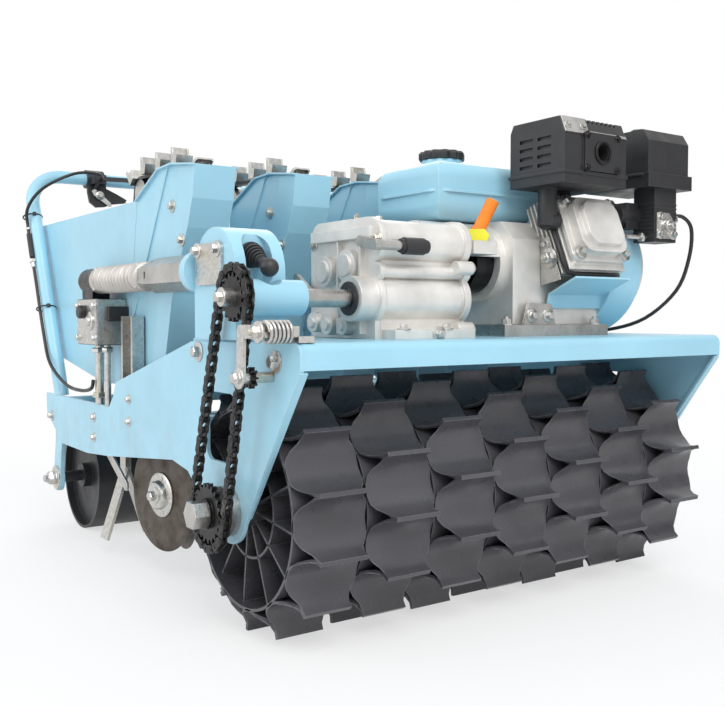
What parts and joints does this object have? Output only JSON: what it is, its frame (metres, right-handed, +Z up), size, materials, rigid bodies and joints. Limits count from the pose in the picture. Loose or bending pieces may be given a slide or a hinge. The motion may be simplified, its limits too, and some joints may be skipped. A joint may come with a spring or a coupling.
{
  "type": "walk-behind potato planter",
  "caption": "Walk-behind motor planter: lugged drive drum under an engine deck, chain drive, seed hopper with cup-chain rows, disc openers, covering blades, press roller and tube handlebar.",
  "frame": {"origin": "middle of the footprint at ground level", "axes": "+X forwards, +Y to the machine's left, +Z up"},
  "size_m": [1.0564, 0.8174, 0.6896],
  "materials": {
    "blue_paint": "powder-coated sheet steel, satin",
    "black_plastic": "moulded or painted black",
    "drum_plastic": "moulded polyethylene, dark grey",
    "black_cable": "sheathed control cable",
    "black_steel": "blackened, oiled",
    "zinc_steel": "zinc plated",
    "bare_steel": "machined steel",
    "cast_alloy": "die cast, blasted",
    "orange_plastic": "moulded",
    "disc_steel": "oiled spring steel"
  },
  "bodies": {
    "chassis": {"deck_plate": "blue_paint", "side_plate_right": "blue_paint", "side_plate_left": "blue_paint", "cross_tubes": "blue_paint", "handlebar": "blue_paint", "clutch_lever": "black_plastic", "clutch_cable": "black_cable", "seed_hopper": "blue_paint", "row_housings": "blue_paint", "cup_chains": "black_steel", "seed_cups": "zinc_steel", "lift_frames": "bare_steel", "seed_shaft": "bare_steel", "support_columns": "zinc_steel", "seed_drive_case": "black_steel", "adjuster_rods": "zinc_steel", "bevel_box": "blue_paint", "bevel_cover": "zinc_steel", "shift_boot": "black_plastic", "coupling_sleeves": "bare_steel", "coupling_spring": "zinc_steel", "gearbox_case": "cast_alloy", "selector_rod": "bare_steel", "selector_grip": "black_plastic", "oil_cap": "orange_plastic", "drive_chain": "black_steel", "chain_tensioner": "zinc_steel", "engine_block": "cast_alloy", "rocker_cover": "cast_alloy", "muffler": "black_plastic", "air_filter": "black_plastic", "fuel_tank": "blue_paint", "fan_shroud": "blue_paint", "recoil_starter": "cast_alloy", "engine_base": "bare_steel", "engine_coupling": "black_steel", "throttle_cable": "black_cable", "axle_bearings": "bare_steel", "opener_shanks": "bare_steel", "seed_boots": "blue_paint", "covering_blades": "zinc_steel", "roller_brackets": "blue_paint"},
    "drum": {"drum_axle": "bare_steel", "drum_wheels": "drum_plastic", "lower_sprocket": "black_steel"},
    "drive_shaft": {"output_shaft": "bare_steel", "upper_sprocket": "black_steel"},
    "idler": {"idler_sprocket": "black_steel"},
    "roller": {"press_roller": "black_plastic"},
    "opener_1r": {"disc_1r": "disc_steel"},
    "opener_1l": {"disc_1l": "disc_steel"},
    "opener_2r": {"disc_2r": "disc_steel"},
    "opener_2l": {"disc_2l": "disc_steel"},
    "opener_3r": {"disc_3r": "disc_steel"},
    "opener_3l": {"disc_3l": "disc_steel"},
    "opener_4r": {"disc_4r": "disc_steel"},
    "opener_4l": {"disc_4l": "disc_steel"},
    "opener_5r": {"disc_5r": "disc_steel"},
    "opener_5l": {"disc_5l": "disc_steel"}
  },
  "joints": [
    {"name": "drum_spin", "type": "hinge", "parent": "chassis", "child": "drum", "pos_m": [0.36225, 0.01375, 0.15915], "axis": [0, 1, 0], "continuous": true},
    {"name": "shaft_spin", "type": "hinge", "parent": "chassis", "child": "drive_shaft", "pos_m": [0.43025, -0.28625, 0.41615], "axis": [0, 1, 0], "continuous": true},
    {"name": "idler_spin", "type": "hinge", "parent": "chassis", "child": "idler", "pos_m": [0.46825, -0.38325, 0.32715], "axis": [0, 1, 0], "continuous": true},
    {"name": "roller_spin", "type": "hinge", "parent": "chassis", "child": "roller", "pos_m": [-0.34275, 0.01375, 0.098], "axis": [0, 1, 0], "continuous": true},
    {"name": "disc_1r_spin", "type": "hinge", "parent": "chassis", "child": "opener_1r", "pos_m": [0.06225, -0.30125, 0.12715], "axis": [0.1392, -0.9903, 0], "continuous": true},
    {"name": "disc_1l_spin", "type": "hinge", "parent": "chassis", "child": "opener_1l", "pos_m": [0.06225, -0.30125, 0.12715], "axis": [0.1392, 0.9903, 0], "continuous": true},
    {"name": "disc_2r_spin", "type": "hinge", "parent": "chassis", "child": "opener_2r", "pos_m": [0.06225, -0.14375, 0.12715], "axis": [0.1392, -0.9903, 0], "continuous": true},
    {"name": "disc_2l_spin", "type": "hinge", "parent": "chassis", "child": "opener_2l", "pos_m": [0.06225, -0.14375, 0.12715], "axis": [0.1392, 0.9903, 0], "continuous": true},
    {"name": "disc_3r_spin", "type": "hinge", "parent": "chassis", "child": "opener_3r", "pos_m": [0.06225, 0.01375, 0.12715], "axis": [0.1392, -0.9903, 0], "continuous": true},
    {"name": "disc_3l_spin", "type": "hinge", "parent": "chassis", "child": "opener_3l", "pos_m": [0.06225, 0.01375, 0.12715], "axis": [0.1392, 0.9903, 0], "continuous": true},
    {"name": "disc_4r_spin", "type": "hinge", "parent": "chassis", "child": "opener_4r", "pos_m": [0.06225, 0.17125, 0.12715], "axis": [0.1392, -0.9903, 0], "continuous": true},
    {"name": "disc_4l_spin", "type": "hinge", "parent": "chassis", "child": "opener_4l", "pos_m": [0.06225, 0.17125, 0.12715], "axis": [0.1392, 0.9903, 0], "continuous": true},
    {"name": "disc_5r_spin", "type": "hinge", "parent": "chassis", "child": "opener_5r", "pos_m": [0.06225, 0.32875, 0.12715], "axis": [0.1392, -0.9903, 0], "continuous": true},
    {"name": "disc_5l_spin", "type": "hinge", "parent": "chassis", "child": "opener_5l", "pos_m": [0.06225, 0.32875, 0.12715], "axis": [0.1392, 0.9903, 0], "continuous": true}
  ],
  "couplings": [
    {"joint": "shaft_spin", "follows": "drum_spin", "ratio": 1.2353},
    {"joint": "idler_spin", "follows": "drum_spin", "ratio": -2.3333}
  ]
}
